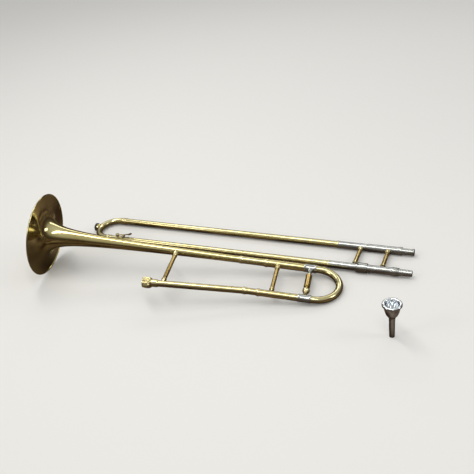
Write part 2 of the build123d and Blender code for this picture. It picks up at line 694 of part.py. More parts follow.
def inner_slide():
    brace = slide_brace(INNER_BRACE_STATION, BARREL_RADIUS)
    return {
        "tenon_inner_tube": inner_tube(FRONT),
        "mouth_inner_tube": inner_tube(REAR),
        "tenon_cork_barrel": cork_barrel(FRONT),
        "mouth_cork_barrel": cork_barrel(REAR),
        "barrel_corks": barrel_corks(),
        "barrel_end_rings": [end_ring(FRONT), end_ring(REAR)],
        "inner_brace_feet": brace[:2],
        "inner_brace_tube": brace[2],
        "leadpipe": leadpipe(),
        "mouthpiece_receiver": mouthpiece_receiver(),
        "slide_tenon": slide_tenon(),
        "tenon_thread_collar": thread_collar(),
        "slide_lock_ring": lock_ring(),
    }


def sector(start, end, low, high, first, last, y):
    """A block between two stations, two radii and two angles, measured from straight up, rearwards."""
    block = turned([(start, low), (end, low), (end, high), (start, high)])
    reach = high * 2
    middle = math.radians((first + last) / 2)
    half = math.radians((last - first) / 2)
    wedge = Polyline(
        (0, 0),
        (reach * math.sin(middle - half), reach * math.cos(middle - half)),
        (reach * math.sin(middle + half), reach * math.cos(middle + half)),
        close=True,
    )
    cutter = extrude(Plane.YZ * make_face(wedge), end + 1)
    return Pos(0, y, 0) * (block & cutter)


def lock_ring():
    """The bayonet ring: the lug comes in through an open slot and is trapped when the ring turns."""
    end = LOCK_RING_START + LOCK_RING_LENGTH
    bore = BARREL_RADIUS + RUNNING_FIT
    ring = sleeve(LOCK_RING_START, end, bore, LOCK_RING_RADIUS, FRONT, 2 * EASE)
    low, high = bore - 1, LOCK_RING_RADIUS + 1
    half = LUG_ANGLE / 2 + LUG_PLAY
    slot_end = LUG_STATION + LUG_LENGTH + GAP
    ring -= sector(LOCK_RING_START - 1, slot_end, low, high, -half, half, FRONT)
    return ring - sector(LUG_STATION - GAP, slot_end, low, high, -half - LOCK_TURN, half, FRONT)


# ---- Outer slide ----------------------------------------------------------------------------------
def crook():
    """The U bend that closes the outer slide."""
    path = Line((CROOK_CENTRE + CROOK_ENTRY, REAR), (CROOK_CENTRE, REAR))
    path += ThreePointArc((CROOK_CENTRE, REAR), (CROOK_CENTRE - SLIDE_SPACING / 2, 0), (CROOK_CENTRE, FRONT))
    path += Line((CROOK_CENTRE, FRONT), (CROOK_CENTRE + CROOK_ENTRY, FRONT))
    start = Plane(origin=path @ 0, z_dir=path % 0)
    wall = start * Circle(OUTER_RADIUS) - start * Circle(OUTER_BORE)
    return sweep(wall, path=path)


def crook_ferrule(y):
    """The sleeve that joins an outer tube to the crook."""
    start = CROOK_CENTRE + 0.5
    end = start + CROOK_FERRULE_LENGTH
    radius = OUTER_RADIUS + 0.6
    return turned(
        [
            (start, OUTER_RADIUS),
            (end, OUTER_RADIUS),
            (end, radius),
            (end - 1.5, radius + 0.6),
            (end - 3, radius),
            (start + 3, radius),
            (start + 1.5, radius + 0.6),
            (start, radius),
        ],
        y,
    )


def bumper_holder():
    """The metal cup soldered to the crook that holds the rubber bumper."""
    crown = CROOK_BACK + OUTER_RADIUS
    base = BUMPER_LENGTH + 1.5
    cup = turned(
        [
            (BUMPER_STEM, 0),
            (crown, 0),
            (crown, 4.5),
            (CROOK_BACK + 3, 5.5),
            (base, BUMPER_HOLD - 1.3),
            (base, BUMPER_HOLD),
            (BUMPER_STEM, BUMPER_HOLD),
        ]
    )
    return cup - crook_body()


def crook_body():
    """The crook as if it were filled."""
    ring = Plane.XZ * Pos(CROOK_CENTRE - SLIDE_SPACING / 2, 0) * Circle(OUTER_RADIUS)
    return revolve(ring, Axis((CROOK_CENTRE, 0, 0), (0, 0, 1)), 360)


def bumper():
    """The rubber foot at the end of the slide."""
    stem, edge = BUMPER_STEM, BUMPER_RADIUS
    return turned([(0, 0), (stem, 0), (stem, edge), (1.6, edge), (0.5, edge - 0.6), (0, edge - 2)])


def lock_lug():
    """The lug on the tenon side that the lock ring traps."""
    half = LUG_ANGLE / 2
    return sector(LUG_STATION, LUG_STATION + LUG_LENGTH, SLEEVE_RADIUS, LUG_RADIUS, -half, half, FRONT)


def oversleeve(y):
    return sleeve(SLEEVE_START, BARREL_START - 1.0, OUTER_RADIUS, SLEEVE_RADIUS, y)


def sleeve_rings():
    """The bright ring at the start of each oversleeve."""
    start = SLEEVE_START - SLEEVE_RING_LENGTH
    crown = SLEEVE_RADIUS + 0.5
    return [band(start, SLEEVE_START, OUTER_RADIUS, SLEEVE_RADIUS, crown, y) for y in (FRONT, REAR)]


def upright(radius, height, base=0.0):
    """A round post over the drain hole, standing on the plane at base."""
    centred = (Align.CENTER, Align.CENTER, Align.MIN)
    return Pos(WATER_KEY_STATION, FRONT, base) * Cylinder(radius, height, align=centred)


def crosswise(radius, length, offset=0.0):
    """A round bar along the key's pivot."""
    return Pos(KEY_PIVOT, FRONT + offset, KEY_PIVOT_HEIGHT) * Rot(90, 0, 0) * Cylinder(radius, length)


def outer_tube(y, drained):
    tube = pipe(CROOK_CENTRE + CROOK_ENTRY, OUTER_END, OUTER_RADIUS, OUTER_WALL, y)
    return tube - upright(KEY_HOLE, MARGIN) if drained else tube


def key_spout():
    """The little chimney round the drain hole."""
    tube = round_tool(WATER_KEY_STATION, OUTER_RADIUS, FRONT)
    return upright(SPOUT_RADIUS, KEY_TOP) - upright(KEY_HOLE, MARGIN) - tube


def key_saddle():
    """Two posts on a saddle that carry the key's pivot."""
    pin, tube = crosswise(KEY_PIN_RADIUS, 2 * MARGIN), round_tool(KEY_PIVOT, OUTER_RADIUS, FRONT)
    posts = []
    for side in (-1, 1):
        offset = side * (KEY_WIDTH + KEY_POST_WIDTH + 2 * GAP) / 2
        block = Box(2 * KEY_EYE_RADIUS, KEY_POST_WIDTH, KEY_PIVOT_HEIGHT)
        post = Pos(KEY_PIVOT, FRONT + offset, KEY_PIVOT_HEIGHT / 2) * block
        post += crosswise(KEY_EYE_RADIUS, KEY_POST_WIDTH, offset)
        posts.append(post - pin - tube)
    return posts


def key_pivot():
    """The pivot screw, through both posts and the key."""
    length = KEY_WIDTH + 2 * KEY_POST_WIDTH + 2 * GAP
    head = crosswise(KEY_HEAD_RADIUS, KEY_HEAD_LENGTH, -(length + KEY_HEAD_LENGTH) / 2)
    return crosswise(KEY_PIN_RADIUS, length) + head


def key_lever():
    """The key: a cup over the spout, an arm past the pivot, and a touch for the finger."""
    cup = upright(SPOUT_RADIUS + KEY_CUP_WALL, KEY_CUP_DEPTH, KEY_CUP_BASE)
    height = KEY_CUP_BASE + KEY_CUP_DEPTH / 2
    bar = Box(KEY_REACH, KEY_ARM_WIDTH, KEY_ARM_THICKNESS)
    arm = Pos(WATER_KEY_STATION + KEY_REACH / 2, FRONT, height) * bar
    post = height - KEY_PIVOT_HEIGHT + KEY_ARM_THICKNESS
    link = Pos(KEY_PIVOT, FRONT, (KEY_PIVOT_HEIGHT + height) / 2) * Box(KEY_ARM_WIDTH, KEY_ARM_WIDTH, post)
    slope = Pos(KEY_PIVOT, FRONT, height) * Rot(0, -KEY_RISE, 0)
    tail = slope * Pos(KEY_TAIL / 2, 0, 0) * Box(KEY_TAIL, KEY_ARM_WIDTH, KEY_ARM_THICKNESS)
    touch = slope * Pos(KEY_TAIL + 1, 0, 0) * Cylinder(KEY_TOUCH_RADIUS, KEY_ARM_THICKNESS)
    knuckle = crosswise(KEY_KNUCKLE_RADIUS, KEY_WIDTH)
    return knuckle + cup + arm + link + tail + touch - crosswise(KEY_PIN_RADIUS + RUNNING_FIT, 2 * MARGIN)


def key_cork():
    """The cork pad in the key's cup."""
    return upright(SPOUT_RADIUS + GAP, PAD_THICKNESS, KEY_TOP + GAP)


def key_spring():
    """The flat spring under the finger end of the key, fixed to the tube and free at its tip."""
    seat, thick = OUTER_RADIUS + 0.4, SPRING_THICKNESS
    start, bend, tip = KEY_PIVOT + SPRING_START, KEY_PIVOT + SPRING_BEND, KEY_PIVOT + SPRING_TIP
    path = [
        (start, seat + thick),
        (bend, seat + thick),
        (tip, seat + thick + SPRING_LIFT),
        (tip, seat + SPRING_LIFT),
        (bend, seat),
        (bend, seat - 1),
        (start, seat - 1),
    ]
    strip = extrude(Plane.XZ * make_face(Polyline(*path, close=True)), SPRING_WIDTH / 2, both=True)
    return Pos(0, FRONT, 0) * strip - round_tool(KEY_PIVOT + SPRING_BEND, OUTER_RADIUS, FRONT)


def outer_slide():
    brace = slide_brace(OUTER_BRACE_STATION, SLEEVE_RADIUS)
    return {
        "tenon_outer_tube": outer_tube(FRONT, True),
        "mouth_outer_tube": outer_tube(REAR, False),
        "tenon_oversleeve": oversleeve(FRONT),
        "mouth_oversleeve": oversleeve(REAR),
        "oversleeve_rings": sleeve_rings(),
        "slide_lock_lug": lock_lug(),
        "outer_brace_feet": brace[:2],
        "outer_brace_tube": brace[2],
        "slide_crook": crook(),
        "crook_ferrules": [crook_ferrule(FRONT), crook_ferrule(REAR)],
        "bumper_holder": bumper_holder(),
        "slide_bumper": bumper(),
        "water_key_spout": key_spout(),
        "water_key_saddle": key_saddle(),
        "water_key_pivot": key_pivot(),
        "water_key_spring": key_spring(),
        "water_key_lever": key_lever(),
        "water_key_cork": key_cork(),
    }


# ---- Mouthpiece -----------------------------------------------------------------------------------
def mouthpiece():
    """One turned piece: tapered shank with a straight land, backbore, throat, cup and rounded rim."""
    top = MOUTHPIECE_LENGTH
    land_end = SHANK_LAND_START + SHANK_LAND_LENGTH
    foot_station = top - CUP_STEM
    rim_edge = (top - RIM_DEPTH, CUP_RIM_RADIUS)
    rim_inside = (top - RIM_DEPTH + 1.1, CUP_INNER_RADIUS)
    rim_crown = (top, (CUP_RIM_RADIUS + CUP_INNER_RADIUS) / 2)
    bore = SHANK_TIP_RADIUS - SHANK_TIP_WALL
    stem = (foot_station - 10, SHANK_LAND_RADIUS + 0.3)
    swell = (foot_station + 3, CUP_FOOT_RADIUS)
    waist = (top - 7, CUP_WAIST_RADIUS)
    cup_bottom = (top - CUP_DEPTH, THROAT_RADIUS + 0.8)
    throat = (top - CUP_DEPTH - 3, THROAT_RADIUS)
    throat_end = (throat[0] - THROAT_LENGTH, THROAT_RADIUS)
    outline = make_face(
        [
            Line((0, bore), (0, SHANK_TIP_RADIUS)),
            Line((0, SHANK_TIP_RADIUS), (SHANK_LAND_START, SHANK_LAND_RADIUS)),
            Line((SHANK_LAND_START, SHANK_LAND_RADIUS), (land_end, SHANK_LAND_RADIUS)),
            Line((land_end, SHANK_LAND_RADIUS), stem),
            ThreePointArc(stem, (foot_station - 3, CUP_NECK_RADIUS), swell),
            ThreePointArc(swell, (top - 15, CUP_WAIST_RADIUS - 0.7), waist),
            ThreePointArc(waist, (top - 5.6, CUP_RIM_RADIUS - 1.8), rim_edge),
            ThreePointArc(rim_edge, rim_crown, rim_inside),
            ThreePointArc(rim_inside, (top - 14, CUP_INNER_RADIUS - 1.9), cup_bottom),
            Line(cup_bottom, throat),
            Line(throat, throat_end),
            Line(throat_end, (0, bore)),
        ]
    )
    return {"mouthpiece": revolve(outline, Axis.X, 360)}


# ---- Laying the pieces down -----------------------------------------------------------------------
def reach_down(pitch):
    """How far the rim and the tuning bow reach below the bell axis' start, for a pitch in degrees."""
    tilt, roll = math.radians(pitch), math.radians(BELL_ROLL)
    down = (math.sin(tilt), -math.sin(roll) * math.cos(tilt), -math.cos(roll) * math.cos(tilt))
    rim = RIM_WIRE * down[0] + RIM_RING_RADIUS * math.hypot(down[1], down[2]) + RIM_WIRE
    half = LEG_SPACING / 2
    bend = BOW_BEND * down[0] - half * down[1] + half * math.hypot(down[0], down[1])
    return rim, bend + (BOW_BELL_RADIUS + BOW_NECK_RADIUS) / 2


def bell_frame():
    """The bell section lies on its rim and its bow: the pitch that brings both to the same height."""
    low, high = 0.0, 30.0
    for _ in range(50):
        pitch = (low + high) / 2
        rim, bend = reach_down(pitch)
        low, high = (pitch, high) if bend < rim else (low, pitch)
    x, y = BELL_PLACE
    return Pos(x, y, reach_down(pitch)[0]) * Rot(0, 0, BELL_YAW) * Rot(0, pitch, 0) * Rot(BELL_ROLL, 0, 0)


def slide_frame():
    """The hand slide lies on its bumper, its lock ring and the end ring of the other barrel."""
    roll = math.degrees(math.asin((LOCK_RING_RADIUS - END_RING_RADIUS) / SLIDE_SPACING))
    x, y = SLIDE_PLACE
    return Pos(x, y, BUMPER_RADIUS) * Rot(0, 0, SLIDE_YAW) * Rot(-roll, 0, 0)


def mouthpiece_frame():
    x, y = MOUTHPIECE_PLACE
    return Pos(x, y, 0) * Rot(0, -90, 0)


def laid_out():
    """Every node in its place, with the middle of the whole over the origin."""
    groups = (
        (bell_frame(), {**bell_section(), **tuning_slide()}),
        (slide_frame(), {**inner_slide(), **outer_slide()}),
        (mouthpiece_frame(), mouthpiece()),
    )
    nodes = {}
    for frame, pieces in groups:
        for name, piece in pieces.items():
            solids = piece if isinstance(piece, list) else [piece]
            nodes[name] = Compound([solid for part in solids for solid in part.solids()]).moved(frame)
    box = Compound(list(nodes.values())).bounding_box()
    shift = Pos(-(box.min.X + box.max.X) / 2, -(box.min.Y + box.max.Y) / 2, -box.min.Z)
    bell, slide, mouth = (shift * frame for frame, _ in groups)
    frames = {"bell": bell, "neck": bell * NECK_LEAN, "slide": slide, "mouthpiece": mouth}
    return {name: node.moved(shift) for name, node in nodes.items()}, frames


NODES, FRAMES = laid_out()
for name, node in NODES.items():
    solids = node.solids()
    export_step(solids[0] if len(solids) == 1 else node, f"parts/{name}.step")
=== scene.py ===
import json
import math
from functools import partial

import bmesh
import bpy
from mathutils import Matrix, Vector


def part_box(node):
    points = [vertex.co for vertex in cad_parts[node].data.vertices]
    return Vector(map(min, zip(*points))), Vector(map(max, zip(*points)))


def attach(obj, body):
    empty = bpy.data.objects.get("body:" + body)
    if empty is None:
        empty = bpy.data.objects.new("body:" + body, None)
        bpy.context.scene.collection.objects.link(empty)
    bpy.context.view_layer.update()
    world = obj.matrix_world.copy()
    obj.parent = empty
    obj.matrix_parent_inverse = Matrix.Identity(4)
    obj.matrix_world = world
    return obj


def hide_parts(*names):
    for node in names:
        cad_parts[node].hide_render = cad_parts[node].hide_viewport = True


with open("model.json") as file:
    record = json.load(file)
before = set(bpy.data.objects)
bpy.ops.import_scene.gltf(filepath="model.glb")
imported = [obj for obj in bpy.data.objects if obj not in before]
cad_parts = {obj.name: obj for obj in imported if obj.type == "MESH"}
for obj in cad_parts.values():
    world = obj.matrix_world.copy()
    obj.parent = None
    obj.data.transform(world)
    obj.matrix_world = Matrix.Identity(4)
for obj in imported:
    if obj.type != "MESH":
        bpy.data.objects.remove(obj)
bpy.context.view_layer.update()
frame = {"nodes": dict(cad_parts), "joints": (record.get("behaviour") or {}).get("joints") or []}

# ---- Floor, lights and camera -----------------------------------------------------------------------
# The three pieces lie on a plain pale floor under long soft boxes, so that each tube carries a long
# clean highlight. The floor's material paints its reflection in the polished metal as dark brown and grey
# patches instead of its own pale colour, a painted reflection; the room shows dim near the horizon, which
# gives brass its olive and brown depths.
scene = bpy.context.scene
scene.view_settings.view_transform = "Standard"


def shader_node(tree, kind, **values):
    """A node with its plain settings and its input values filled in by socket name."""
    made = tree.nodes.new(kind)
    for name, value in values.items():
        if name in made.bl_rna.properties:
            setattr(made, name, value)
        else:
            made.inputs[name.replace("_", " ")].default_value = value
    return made


def new_material(name):
    """A plain material: it comes back with its tree and its Principled BSDF, ready to wire."""
    material = bpy.data.materials.new(name)
    material.use_nodes = True
    return material, material.node_tree, material.node_tree.nodes["Principled BSDF"]


paper, tree, shader = new_material("floor_paper")
place = shader_node(tree, "ShaderNodeTexCoord")
grain = shader_node(tree, "ShaderNodeTexNoise", Scale=220.0, Detail=3.0)
relief = shader_node(tree, "ShaderNodeBump", Strength=0.05, Distance=0.0005)
tree.links.new(place.outputs["Object"], grain.inputs["Vector"])
tree.links.new(grain.outputs["Fac"], relief.inputs["Height"])
tree.links.new(relief.outputs["Normal"], shader.inputs["Normal"])
shader.inputs["Base Color"].default_value = (0.70, 0.69, 0.67, 1)
shader.inputs["Roughness"].default_value = 0.9
# Painted reflection: rays reflected off the metal see this dark brown and grey patched surface in place of
# the pale floor.
painted_reflection = shader_node(tree, "ShaderNodeBsdfDiffuse")
painted_reflection_patches = shader_node(tree, "ShaderNodeTexNoise", Scale=9.0, Detail=1.0)
painted_reflection_tones = shader_node(tree, "ShaderNodeValToRGB")
painted_reflection_tones.color_ramp.elements[0].color = (0.035, 0.022, 0.015, 1)
painted_reflection_tones.color_ramp.elements[1].color = (0.24, 0.185, 0.14, 1)
painted_reflection_tones.color_ramp.elements[0].position = 0.40
painted_reflection_tones.color_ramp.elements[1].position = 0.78
tree.links.new(place.outputs["Object"], painted_reflection_patches.inputs["Vector"])
tree.links.new(painted_reflection_patches.outputs["Fac"], painted_reflection_tones.inputs["Fac"])
tree.links.new(painted_reflection_tones.outputs["Color"], painted_reflection.inputs["Color"])
ray = shader_node(tree, "ShaderNodeLightPath")
pick = shader_node(tree, "ShaderNodeMixShader")
tree.links.new(ray.outputs["Is Glossy Ray"], pick.inputs["Fac"])
tree.links.new(shader.outputs["BSDF"], pick.inputs[1])
tree.links.new(painted_reflection.outputs["BSDF"], pick.inputs[2])
tree.links.new(pick.outputs["Shader"], tree.nodes["Material Output"].inputs["Surface"])
half_floor = 40.0
floor_mesh = bpy.data.meshes.new("floor")
signs = ((-1, -1), (1, -1), (1, 1), (-1, 1))
floor_mesh.from_pydata([(x * half_floor, y * half_floor, 0) for x, y in signs], [], [(0, 1, 2, 3)])
floor_mesh.materials.append(paper)
floor = bpy.data.objects.new("floor", floor_mesh)
scene.collection.objects.link(floor)

soft_boxes = {  # place, what it points at, width and length in metres, watts, colour
    "overhead_box": ((-0.15, -0.15, 1.75), (0, 0.02, 0), (3.0, 0.26), 17, (1.0, 0.99, 0.95)),
    "front_box": ((-1.5, -1.5, 1.5), (-0.2, 0, 0), (0.8, 0.6), 7, (1.0, 0.98, 0.95)),
    "back_box": ((-0.3, 1.9, 1.5), (0, 0, 0.05), (2.6, 0.4), 7, (0.97, 0.99, 1.0)),
    "side_box": ((2.0, 0.2, 1.2), (0.1, 0, 0.05), (0.6, 0.8), 5, (0.95, 0.98, 1.0)),
}
for name, (place_at, aim, size, watts, colour) in soft_boxes.items():
    light = bpy.data.lights.new(name, "AREA")
    light.shape, light.size, light.size_y = "RECTANGLE", *size
    light.energy, light.color = watts, colour
    holder = bpy.data.objects.new(name, light)
    towards = (Vector(aim) - Vector(place_at)).to_track_quat("-Z", "Y")
    holder.matrix_world = Matrix.Translation(place_at) @ towards.to_matrix().to_4x4()
    scene.collection.objects.link(holder)

world = bpy.data.worlds.new("studio")
world.use_nodes = True
scene.world = world
tree = world.node_tree
seen = tree.nodes["Background"]
seen.inputs["Color"].default_value = (0.66, 0.66, 0.65, 1)
mirrored = shader_node(tree, "ShaderNodeBackground", Strength=0.85)
ray = shader_node(tree, "ShaderNodeLightPath")
pick = shader_node(tree, "ShaderNodeMixShader")
way = shader_node(tree, "ShaderNodeTexCoord")
height = shader_node(tree, "ShaderNodeSeparateXYZ")
room = shader_node(tree, "ShaderNodeValToRGB")
room.color_ramp.elements[0].position = 0.02
room.color_ramp.elements[0].color = (0.055, 0.038, 0.03, 1)
room.color_ramp.elements[1].position = 0.95
room.color_ramp.elements[1].color = (0.74, 0.76, 0.74, 1)
for position, colour in ((0.3, (0.12, 0.10, 0.08, 1)), (0.55, (0.50, 0.50, 0.47, 1))):
    room.color_ramp.elements.new(position).color = colour
tree.links.new(way.outputs["Generated"], height.inputs["Vector"])
tree.links.new(height.outputs["Z"], room.inputs["Fac"])
tree.links.new(room.outputs["Color"], mirrored.inputs["Color"])
tree.links.new(ray.outputs["Is Glossy Ray"], pick.inputs["Fac"])
tree.links.new(seen.outputs["Background"], pick.inputs[1])
tree.links.new(mirrored.outputs["Background"], pick.inputs[2])
tree.links.new(pick.outputs["Shader"], tree.nodes["World Output"].inputs["Surface"])

heading, tilt, cant = math.radians(24.85), math.radians(32.45), math.radians(-7.66)
camera_place = (0.6055, -1.1995, 0.9432)
ahead = Vector((-math.sin(heading) * math.cos(tilt), math.cos(heading) * math.cos(tilt), -math.sin(tilt)))
level = Vector((math.cos(heading), math.sin(heading), 0))
upright = level.cross(ahead)
across = level * math.cos(cant) + upright * math.sin(cant)
above = upright * math.cos(cant) - level * math.sin(cant)
camera_data = bpy.data.cameras.new("camera")
camera_data.lens = 54.7
camera_data.clip_end = 100
camera = bpy.data.objects.new("camera", camera_data)
turn = Matrix((across, above, -ahead)).transposed().to_4x4()
camera.matrix_world = Matrix.Translation(camera_place) @ turn
scene.collection.objects.link(camera)
scene.camera = camera

# ---- Bell -------------------------------------------------------------------------------------------
# The bell is one sheet of yellow brass, hammered and spun over a mandrel, rolled over a wire at the rim,
# polished and lacquered. It is turned again here from the same horn law, in even rings and staves.
MM = 0.001
joints = {joint["name"]: joint for joint in frame["joints"]}
nodes = frame["nodes"]

bell_x = Vector(joints["tuning_slide_pull"]["axis"])
rim_low, rim_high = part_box("bell_rim_wire")
rim_centre = (rim_low + rim_high) / 2
to_neck = Vector(joints["lock_nut_turn"]["pos_m"]) - rim_centre
to_neck -= bell_x * to_neck.dot(bell_x)
bell_y = -to_neck.normalized()
bell_axes = Matrix((bell_x, bell_y, bell_x.cross(bell_y))).transposed().to_4x4()
rim_wire_radius = 1.6 * MM
bell_frame = Matrix.Translation(rim_centre - bell_x * rim_wire_radius) @ bell_axes


def new_group(name, takes, gives):
    """A shader node group with the sockets named; it comes back with its input and output nodes."""
    group = bpy.data.node_groups.new(name, "ShaderNodeTree")
    for way_through, sockets in (("INPUT", takes), ("OUTPUT", gives)):
        for socket, kind in sockets.items():
            group.interface.new_socket(socket, in_out=way_through, socket_type="NodeSocket" + kind)
    return group, group.nodes.new("NodeGroupInput"), group.nodes.new("NodeGroupOutput")


def metal_tone_group():
    """Slow drift between two tones of a metal, with faint stains where its lacquer or plate has aged."""
    takes = {"Vector": "Vector", "Bright": "Color", "Deep": "Color"}
    takes.update({"Drift Scale": "Float", "Bloom Scale": "Float", "Bloom Amount": "Float"})
    group, given, result = new_group("metal tone", takes, {"Color": "Color"})
    drift = shader_node(group, "ShaderNodeTexNoise", Detail=2.0, Roughness=0.5)
    drift_range = shader_node(group, "ShaderNodeMapRange", From_Min=0.35, From_Max=0.68)
    bloom = shader_node(group, "ShaderNodeTexNoise", Detail=5.0, Roughness=0.62)
    bloom_range = shader_node(group, "ShaderNodeMapRange", From_Min=0.6, From_Max=0.78)
    amount = shader_node(group, "ShaderNodeMath", operation="MULTIPLY")
    blend = shader_node(group, "ShaderNodeMix", data_type="RGBA")
    stain = shader_node(group, "ShaderNodeMix", data_type="RGBA", blend_type="MULTIPLY")
    stain.inputs["B"].default_value = (0.72, 0.5, 0.28, 1)
    wire = group.links.new
    wire(given.outputs["Vector"], drift.inputs["Vector"])
    wire(given.outputs["Drift Scale"], drift.inputs["Scale"])
    wire(drift.outputs["Fac"], drift_range.inputs["Value"])
    wire(drift_range.outputs["Result"], blend.inputs["Factor"])
    wire(given.outputs["Bright"], blend.inputs["A"])
    wire(given.outputs["Deep"], blend.inputs["B"])
    wire(given.outputs["Vector"], bloom.inputs["Vector"])
    wire(given.outputs["Bloom Scale"], bloom.inputs["Scale"])
    wire(bloom.outputs["Fac"], bloom_range.inputs["Value"])
    wire(bloom_range.outputs["Result"], amount.inputs[0])
    wire(given.outputs["Bloom Amount"], amount.inputs[1])
    wire(amount.outputs["Value"], stain.inputs["Factor"])
    wire(blend.outputs["Result"], stain.inputs["A"])
    wire(stain.outputs["Result"], result.inputs["Color"])
    return group


def handling_group():
    """Hairline scratches that run along the tubes, and soft smears left by a cloth and fingers."""
    takes = {"Vector": "Vector", "Smooth": "Float", "Worn": "Float"}
    takes.update({"Scratch Scale": "Float", "Smear Scale": "Float"})
    group, given, result = new_group("handling marks", takes, {"Roughness": "Float", "Height": "Float"})
    stretch = shader_node(group, "ShaderNodeMapping")
    stretch.inputs["Scale"].default_value = (0.08, 1.0, 1.0)
    hair = shader_node(group, "ShaderNodeTexNoise", Detail=2.0, Roughness=0.6)
    hair_range = shader_node(group, "ShaderNodeMapRange", From_Min=0.62, From_Max=0.74)
    smear = shader_node(group, "ShaderNodeTexNoise", Detail=4.0, Roughness=0.6, Distortion=0.8)
    smear_range = shader_node(group, "ShaderNodeMapRange", From_Min=0.42, From_Max=0.7)
    haze = shader_node(group, "ShaderNodeMath", operation="MAXIMUM")
    half = shader_node(group, "ShaderNodeMath", operation="MULTIPLY")
    half.inputs[1].default_value = 0.5
    rough = shader_node(group, "ShaderNodeMapRange")
    wire = group.links.new
    wire(given.outputs["Vector"], stretch.inputs["Vector"])
    wire(stretch.outputs["Vector"], hair.inputs["Vector"])
    wire(given.outputs["Scratch Scale"], hair.inputs["Scale"])
    wire(hair.outputs["Fac"], hair_range.inputs["Value"])
    wire(given.outputs["Vector"], smear.inputs["Vector"])
    wire(given.outputs["Smear Scale"], smear.inputs["Scale"])
    wire(smear.outputs["Fac"], smear_range.inputs["Value"])
    wire(hair_range.outputs["Result"], half.inputs[0])
    wire(half.outputs["Value"], haze.inputs[0])
    wire(smear_range.outputs["Result"], haze.inputs[1])
    wire(haze.outputs["Value"], rough.inputs["Value"])
    wire(given.outputs["Smooth"], rough.inputs["To Min"])
    wire(given.outputs["Worn"], rough.inputs["To Max"])
    wire(rough.outputs["Result"], result.inputs["Roughness"])
    wire(hair_range.outputs["Result"], result.inputs["Height"])
    return group


def edge_group():
    """How near a point is to a sharp edge, for lacquer and plating rubbed thin there."""
    takes = {"Width": "Float", "Contrast": "Float", "Breakup Scale": "Float", "Vector": "Vector"}
    group, given, result = new_group("edge wear", takes, {"Mask": "Float"})
    rounded = shader_node(group, "ShaderNodeBevel", samples=4)
    here = shader_node(group, "ShaderNodeNewGeometry")
    same = shader_node(group, "ShaderNodeVectorMath", operation="DOT_PRODUCT")
    bend = shader_node(group, "ShaderNodeMath", operation="SUBTRACT")
    bend.inputs[0].default_value = 1.0
    strong = shader_node(group, "ShaderNodeMath", operation="MULTIPLY", use_clamp=True)
    patch = shader_node(group, "ShaderNodeTexNoise", Detail=4.0)
    patch_range = shader_node(group, "ShaderNodeMapRange", From_Min=0.38, From_Max=0.62)
    mask = shader_node(group, "ShaderNodeMath", operation="MULTIPLY", use_clamp=True)
    wire = group.links.new
    wire(given.outputs["Width"], rounded.inputs["Radius"])
    wire(rounded.outputs["Normal"], same.inputs[0])
    wire(here.outputs["Normal"], same.inputs[1])
    wire(same.outputs["Value"], bend.inputs[1])
    wire(bend.outputs["Value"], strong.inputs[0])
    wire(given.outputs["Contrast"], strong.inputs[1])
    wire(given.outputs["Vector"], patch.inputs["Vector"])
    wire(given.outputs["Breakup Scale"], patch.inputs["Scale"])
    wire(patch.outputs["Fac"], patch_range.inputs["Value"])
    wire(strong.outputs["Value"], mask.inputs[0])
    wire(patch_range.outputs["Result"], mask.inputs[1])
    wire(mask.outputs["Value"], result.inputs["Mask"])
    return group


tone_of_metal = metal_tone_group()
marks_of_handling = handling_group()
wear_of_edges = edge_group()


def polished_metal(name, bright, deep, smooth, worn, bare, drift=9.0, bloom=0.25, coat=0.0, scratch=900.0):
    """A polished metal: two tones that drift into each other, hairlines, smears, and edges rubbed bare."""
    material, tree, shader = new_material(name)
    where = shader_node(tree, "ShaderNodeTexCoord")
    tone = shader_node(tree, "ShaderNodeGroup", node_tree=tone_of_metal)
    marks = shader_node(tree, "ShaderNodeGroup", node_tree=marks_of_handling)
    edges = shader_node(tree, "ShaderNodeGroup", node_tree=wear_of_edges)
    tone.inputs["Bright"].default_value = (*bright, 1)
    tone.inputs["Deep"].default_value = (*deep, 1)
    tone.inputs["Drift Scale"].default_value = drift
    tone.inputs["Bloom Scale"].default_value = 38.0
    tone.inputs["Bloom Amount"].default_value = bloom
    marks.inputs["Smooth"].default_value = smooth
    marks.inputs["Worn"].default_value = worn
    marks.inputs["Scratch Scale"].default_value = scratch
    marks.inputs["Smear Scale"].default_value = 26.0
    edges.inputs["Width"].default_value = 0.0006
    edges.inputs["Contrast"].default_value = 3.0
    edges.inputs["Breakup Scale"].default_value = 160.0
    rubbed = shader_node(tree, "ShaderNodeMix", data_type="RGBA")
    rubbed.inputs["B"].default_value = (*bare, 1)
    bump = shader_node(tree, "ShaderNodeBump", Strength=0.04, Distance=0.00005)
    wire = tree.links.new
    for group in (tone, marks, edges):
        wire(where.outputs["Object"], group.inputs["Vector"])
    wire(tone.outputs["Color"], rubbed.inputs["A"])
    wire(edges.outputs["Mask"], rubbed.inputs["Factor"])
    wire(rubbed.outputs["Result"], shader.inputs["Base Color"])
    wire(marks.outputs["Roughness"], shader.inputs["Roughness"])
    wire(marks.outputs["Height"], bump.inputs["Height"])
    wire(bump.outputs["Normal"], shader.inputs["Normal"])
    shader.inputs["Metallic"].default_value = 1.0
    shader.inputs["Coat Weight"].default_value = coat
    shader.inputs["Coat Roughness"].default_value = 0.05
    shader.inputs["Coat IOR"].default_value = 1.5
    return material


def finish_nodes(material, *names):
    """Give CAD pieces their material."""
    for name in names:
        mesh = nodes[name].data
        mesh.materials.clear()
        mesh.materials.append(material)


def lathe(name, outline, segments):
    """Turn a closed outline of (station, radius) points, in metres, about the x axis."""
    shape = bmesh.new()
    angles = [math.tau * k / segments for k in range(segments)]
    rings = [
        [shape.verts.new((station, radius * math.cos(a), radius * math.sin(a))) for a in angles]
        for station, radius in outline
    ]
    for first, second in zip(rings, rings[1:] + rings[:1]):
        for k in range(segments):
            after = (k + 1) % segments
            shape.faces.new((first[k], first[after], second[after], second[k]))
    bmesh.ops.recalc_face_normals(shape, faces=shape.faces)
    mesh = bpy.data.meshes.new(name)
    shape.to_mesh(mesh)
    shape.free()
    return mesh


